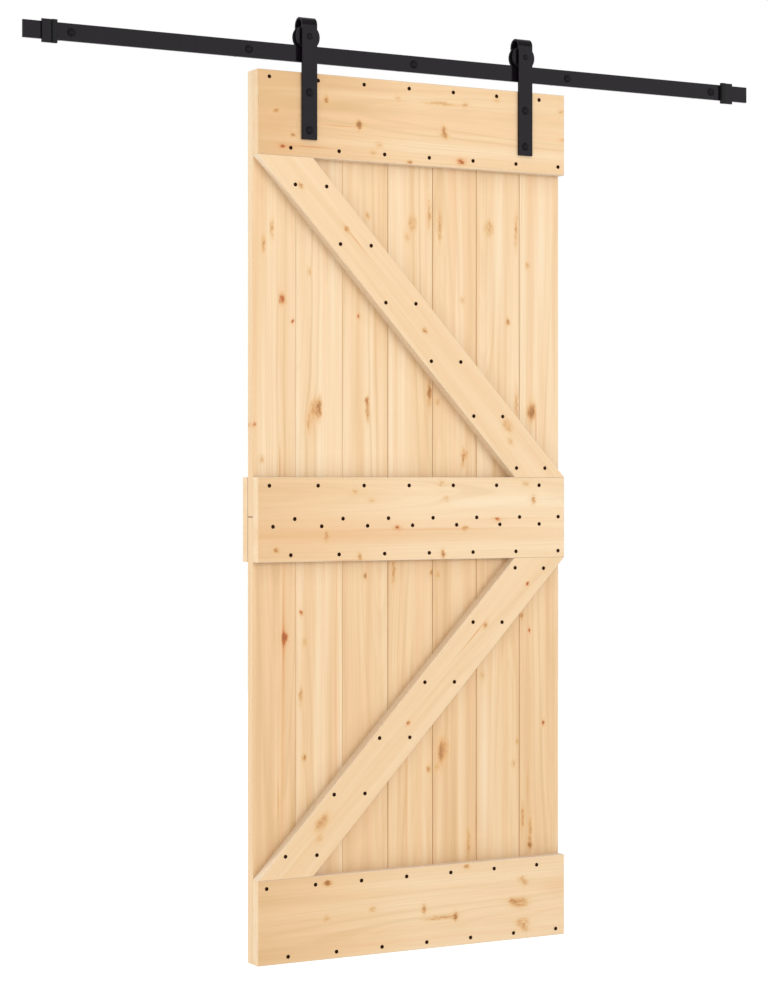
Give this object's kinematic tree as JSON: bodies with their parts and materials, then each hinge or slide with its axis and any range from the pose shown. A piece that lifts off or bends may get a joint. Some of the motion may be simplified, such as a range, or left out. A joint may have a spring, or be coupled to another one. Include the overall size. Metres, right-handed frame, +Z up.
{
  "type": "sliding barn door",
  "caption": "Sliding barn door of ledged and braced pine boards, hung on strap hangers whose grooved rollers run along a flat black steel wall track with end stops.",
  "frame": {"origin": "on the axis of the middle wall screw, in the plane of the wall behind the track's spacers", "axes": "+X along the track, to the right as seen from the room; +Y into the wall; +Z up"},
  "size_m": [2, 0.122, 2.2325],
  "materials": {
    "pine": "planed, untreated",
    "black_powder_coat": "fine matt powder coat",
    "black_fasteners": "black zinc",
    "black_rubber": "matt",
    "bronze": "turned"
  },
  "bodies": {
    "track": {"track_bar": "black_powder_coat", "wall_screws": "black_fasteners", "wall_spacer_1": "black_powder_coat", "wall_spacer_2": "black_powder_coat", "wall_spacer_3": "black_powder_coat", "wall_spacer_4": "black_powder_coat", "wall_spacer_5": "black_powder_coat", "stop_block_left": "black_powder_coat", "stop_block_right": "black_powder_coat", "stop_bumper_left": "black_rubber", "stop_bumper_right": "black_rubber", "stop_set_screws_left": "black_fasteners", "stop_set_screws_right": "black_fasteners"},
    "door": {"board_upper_1": "pine", "board_upper_2": "pine", "board_upper_3": "pine", "board_upper_4": "pine", "board_upper_5": "pine", "board_upper_6": "pine", "board_upper_7": "pine", "board_lower_1": "pine", "board_lower_2": "pine", "board_lower_3": "pine", "board_lower_4": "pine", "board_lower_5": "pine", "board_lower_6": "pine", "board_lower_7": "pine", "rail_top": "pine", "rail_middle": "pine", "rail_bottom": "pine", "rail_back": "pine", "brace_upper": "pine", "brace_lower": "pine", "hanger_strap_left": "black_powder_coat", "hanger_strap_right": "black_powder_coat", "axle_bolt_left": "black_fasteners", "axle_nut_left": "black_fasteners", "axle_washers_left": "black_fasteners", "axle_bolt_right": "black_fasteners", "axle_nut_right": "black_fasteners", "axle_washers_right": "black_fasteners", "strap_bolts": "black_fasteners", "strap_bolt_washers": "black_fasteners", "strap_bolt_nuts": "black_fasteners"},
    "wheel_left": {"roller_left": "black_powder_coat", "roller_bush_left": "bronze"},
    "wheel_right": {"roller_right": "black_powder_coat", "roller_bush_right": "bronze"}
  },
  "joints": [
    {"name": "door_slide", "type": "slide", "parent": "track", "child": "door", "axis": [1, 0, 0], "range_m": [-0.6, 0.577]},
    {"name": "wheel_left_spin", "type": "hinge", "parent": "door", "child": "wheel_left", "pos_m": [-0.292, -0.075, 0.0398], "axis": [0, 1, 0], "continuous": true},
    {"name": "wheel_right_spin", "type": "hinge", "parent": "door", "child": "wheel_right", "pos_m": [0.308, -0.075, 0.0398], "axis": [0, 1, 0], "continuous": true}
  ],
  "couplings": [
    {"joint": "wheel_left_spin", "follows": "door_slide", "rad_per_m": 51.282},
    {"joint": "wheel_right_spin", "follows": "door_slide", "rad_per_m": 51.282}
  ]
}
